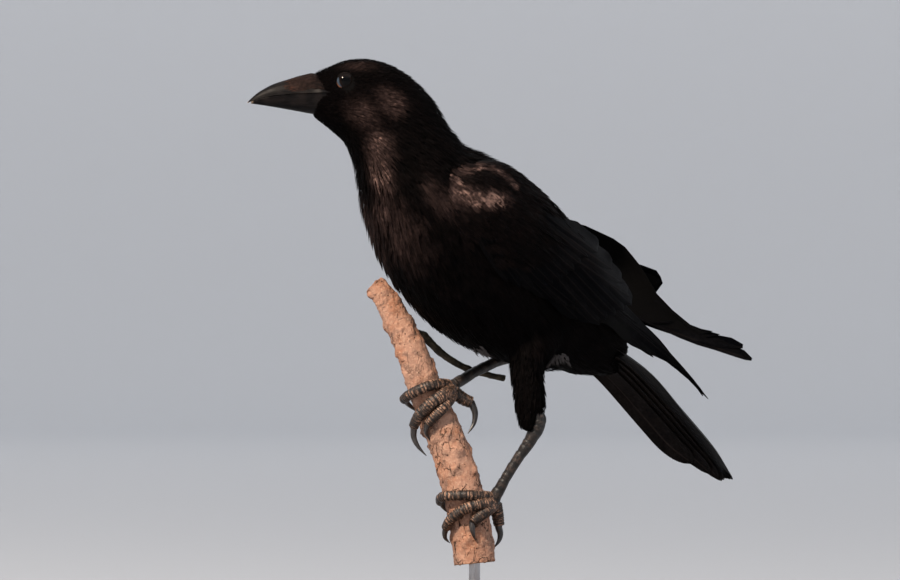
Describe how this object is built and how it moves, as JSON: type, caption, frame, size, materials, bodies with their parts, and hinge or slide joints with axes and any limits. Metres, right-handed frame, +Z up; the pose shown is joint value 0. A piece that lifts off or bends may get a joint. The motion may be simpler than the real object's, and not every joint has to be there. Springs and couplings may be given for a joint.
{
  "type": "carrion crow on a branch perch with a display stand",
  "caption": "Life-size carrion crow gripping a short cut branch, held by a rod on a round flat display base.",
  "frame": {"origin": "middle of the underside of the round base", "axes": "+Z up through the base; the crow looks along -X with its body turned a little towards -Y"},
  "size_m": [0.3665, 0.2506, 0.3912],
  "materials": {
    "plumage": "black contour feathers with a faint brown and violet sheen",
    "flight_feather": "black wing and tail feathers with a cool gloss",
    "bill_horn": "satin grey-black horn",
    "eye": "wet dark brown",
    "leg_scale": "banded scutes, dark with pale worn ridges",
    "claw_horn": "smooth black horn",
    "bark": "warty tan bark with pale sawn ends",
    "base_wood": "oiled dark hardwood",
    "rod_steel": "brushed rod"
  },
  "bodies": {
    "root": {"bill_lower": "bill_horn", "bill_upper": "bill_horn", "claw_left_hind": "claw_horn", "claw_left_inner": "claw_horn", "claw_left_middle": "claw_horn", "claw_left_outer": "claw_horn", "claw_right_hind": "claw_horn", "claw_right_inner": "claw_horn", "claw_right_middle": "claw_horn", "claw_right_outer": "claw_horn", "eye_left": "eye", "eye_right": "eye", "foot_left": "leg_scale", "foot_right": "leg_scale", "head": "plumage", "neck": "plumage", "perch": "bark", "stand_base": "base_wood", "stand_rod": "rod_steel", "tail": "flight_feather", "tarsus_left": "leg_scale", "tarsus_right": "leg_scale", "thigh_left": "plumage", "thigh_right": "plumage", "trunk": "plumage", "wing_left": "flight_feather", "wing_right": "flight_feather"}
  },
  "joints": []
}
